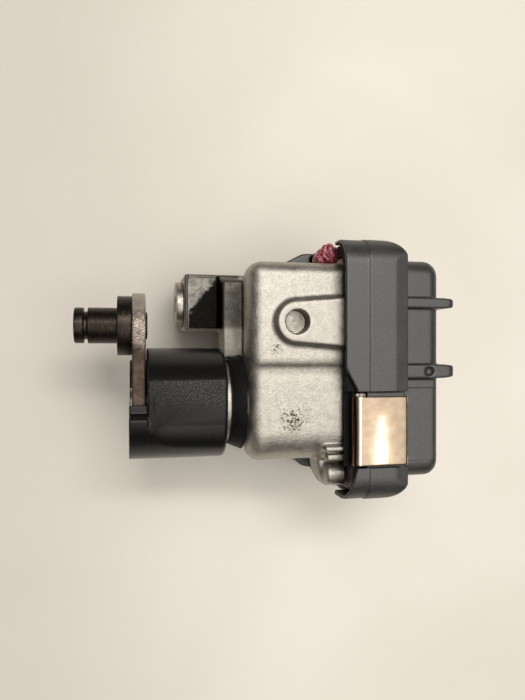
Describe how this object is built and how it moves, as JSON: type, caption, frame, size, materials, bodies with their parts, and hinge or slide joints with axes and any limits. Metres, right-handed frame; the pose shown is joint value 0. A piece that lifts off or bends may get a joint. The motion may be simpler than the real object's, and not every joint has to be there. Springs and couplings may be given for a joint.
{
  "type": "motorized valve actuator",
  "caption": "Rotary electric valve actuator: die-cast motor and shaft housing, black clipped cover with connector socket, spring shroud and crank lever with link pin.",
  "frame": {"origin": "on the output shaft's axis, in the plane of the housing's front face", "axes": "+X along the output shaft towards the cover, +Y from the shaft towards the motor and the link pin, +Z away from the surface that the part lies on"},
  "size_m": [0.1275, 0.0882, 0.0669],
  "materials": {
    "cast_aluminium": "matt die-cast skin with fine grain and oil stains",
    "machined_aluminium": "turned",
    "cover_plastic": "grained glass-filled plastic",
    "shroud_plastic": "satin with a grained facet",
    "spring_clip": "bright rolled strip with a warm tone",
    "black_rubber": "moulded",
    "red_lacquer": "crumpled, glossy",
    "bearing_steel": "ground",
    "spring_steel": "oiled wire",
    "zinc_steel": "sheared plate, zinc flash and tarnish",
    "dark_steel": "blackened, oiled",
    "sheet_steel": "zinc plated",
    "gear_plastic": "moulded acetal",
    "brass": "machined",
    "copper": "enamelled wire and bars",
    "magnet": "ferrite",
    "carbon": "carbon brush",
    "board": "solder mask",
    "chip_plastic": "moulded",
    "capacitor_can": "bare can"
  },
  "bodies": {
    "base": {"housing": "cast_aluminium", "cover": "cover_plastic", "cover_seal": "black_rubber", "cover_clips": "spring_clip", "tamper_seal": "red_lacquer", "spring_shroud": "shroud_plastic", "boss_seal": "black_rubber", "shaft_seal": "black_rubber", "front_bearing": "bearing_steel", "rear_bearing": "bearing_steel", "return_spring": "spring_steel", "leg_bush": "sheet_steel", "gear_axle": "bearing_steel", "axle_washer": "sheet_steel", "axle_clip": "spring_steel", "motor_can": "sheet_steel", "motor_magnets": "magnet", "motor_end_cap": "chip_plastic", "motor_brushes": "carbon", "motor_terminals": "brass", "motor_front_bush": "brass", "motor_rear_bush": "brass", "motor_wave_spring": "spring_steel", "motor_clamp": "sheet_steel", "motor_screws": "sheet_steel", "circuit_board": "board", "board_screws": "sheet_steel", "microcontroller": "chip_plastic", "motor_driver": "chip_plastic", "position_sensor": "chip_plastic", "board_capacitors": "capacitor_can", "connector_pins": "brass"},
    "output": {"output_shaft": "bearing_steel", "lever": "zinc_steel", "link_pin": "dark_steel", "sector_gear": "gear_plastic", "sensor_magnet": "magnet", "thrust_washer": "brass"},
    "intermediate": {"intermediate_gear": "gear_plastic"},
    "rotor": {"motor_shaft": "bearing_steel", "motor_armature": "sheet_steel", "motor_windings": "copper", "motor_commutator": "copper", "motor_pinion": "brass"}
  },
  "joints": [
    {"name": "output_turn", "type": "hinge", "parent": "base", "child": "output", "pos_m": [0, 0, 0], "axis": [1, 0, 0], "range_deg": [0, 45], "deforming": ["return_spring"]},
    {"name": "intermediate_spin", "type": "hinge", "parent": "base", "child": "intermediate", "pos_m": [0.04, 0.02, -0.01962], "axis": [1, 0, 0], "range_deg": [-185, 0]},
    {"name": "rotor_spin", "type": "hinge", "parent": "base", "child": "rotor", "pos_m": [0.02, 0.0295, -0.002], "axis": [1, 0, 0], "range_deg": [0, 737]}
  ],
  "couplings": [
    {"joint": "intermediate_spin", "follows": "output_turn", "ratio": -4.0909},
    {"joint": "rotor_spin", "follows": "output_turn", "ratio": 16.364}
  ]
}
